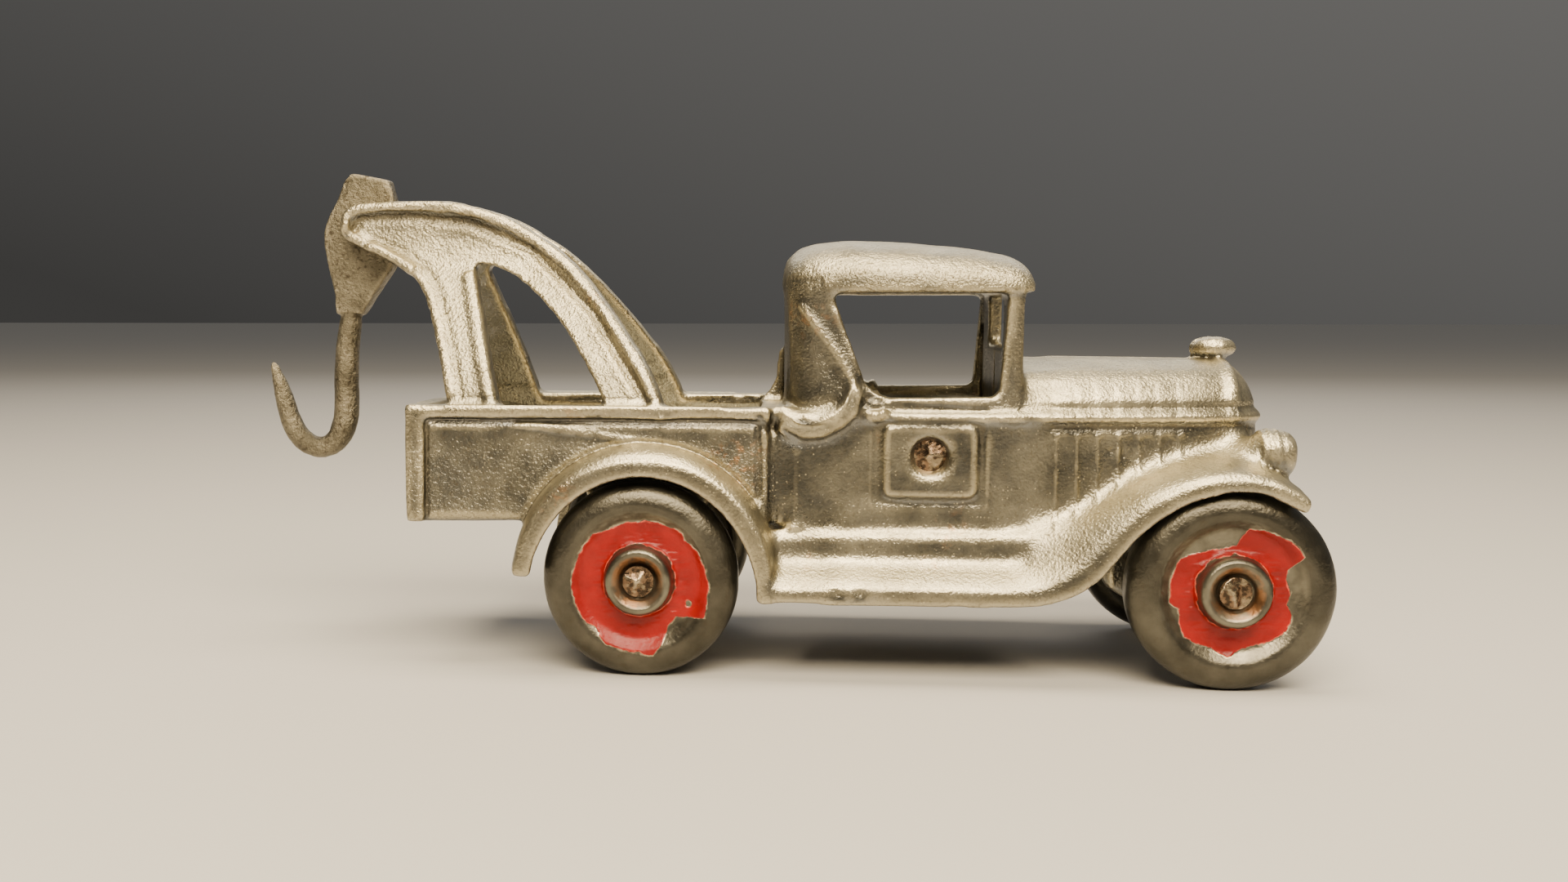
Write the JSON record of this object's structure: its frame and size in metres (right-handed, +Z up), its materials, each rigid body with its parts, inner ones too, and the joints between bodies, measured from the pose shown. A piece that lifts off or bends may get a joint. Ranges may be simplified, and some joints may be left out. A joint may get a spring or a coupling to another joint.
{
  "type": "toy tow truck",
  "caption": "Cast-iron toy tow truck with an open bed, an arched boom, free-rolling wheels and a tow hook that swings between the boom arms.",
  "frame": {"origin": "middle of the truck's overall length and width, on the ground under the wheels", "axes": "+X forwards towards the radiator, the longest way; +Y to the truck's left; +Z up"},
  "size_m": [0.1416, 0.0446, 0.0662],
  "materials": {
    "nickel_body": "worn satin nickel plate over fine sand-cast grain",
    "wheel_iron": "worn darkened nickel with chipped red paint round the hub",
    "hook_iron": "dark grainy cast iron with worn highlights",
    "rusty_pins": "hammered ends with brown rust"
  },
  "bodies": {
    "truck_body": {"body_half_right": "nickel_body", "body_half_left": "nickel_body", "body_rivet": "rusty_pins"},
    "rear_axle": {"rear_axle": "rusty_pins"},
    "front_axle": {"front_axle": "rusty_pins"},
    "wheel_rear_right": {"wheel_rear_right": "wheel_iron"},
    "wheel_front_right": {"wheel_front_right": "wheel_iron"},
    "wheel_rear_left": {"wheel_rear_left": "wheel_iron"},
    "wheel_front_left": {"wheel_front_left": "wheel_iron"},
    "tow_hook": {"tow_hook": "hook_iron"}
  },
  "joints": [
    {"name": "rear_axle_turn", "type": "hinge", "parent": "truck_body", "child": "rear_axle", "pos_m": [-0.01545, 0, 0.0127], "axis": [0, 1, 0], "continuous": true},
    {"name": "front_axle_turn", "type": "hinge", "parent": "truck_body", "child": "front_axle", "pos_m": [0.05815, 0, 0.0127], "axis": [0, 1, 0], "continuous": true},
    {"name": "wheel_rear_right_roll", "type": "hinge", "parent": "truck_body", "child": "wheel_rear_right", "pos_m": [-0.01545, -0.0175, 0.0127], "axis": [0, 1, 0], "continuous": true},
    {"name": "wheel_front_right_roll", "type": "hinge", "parent": "truck_body", "child": "wheel_front_right", "pos_m": [0.05815, -0.0175, 0.0127], "axis": [0, 1, 0], "continuous": true},
    {"name": "wheel_rear_left_roll", "type": "hinge", "parent": "truck_body", "child": "wheel_rear_left", "pos_m": [-0.01545, 0.0175, 0.0127], "axis": [0, 1, 0], "continuous": true},
    {"name": "wheel_front_left_roll", "type": "hinge", "parent": "truck_body", "child": "wheel_front_left", "pos_m": [0.05815, 0.0175, 0.0127], "axis": [0, 1, 0], "continuous": true},
    {"name": "hook_swing", "type": "hinge", "parent": "truck_body", "child": "tow_hook", "pos_m": [-0.05635, 0, 0.0593], "axis": [0, 1, 0], "range_deg": [0, 30]}
  ]
}
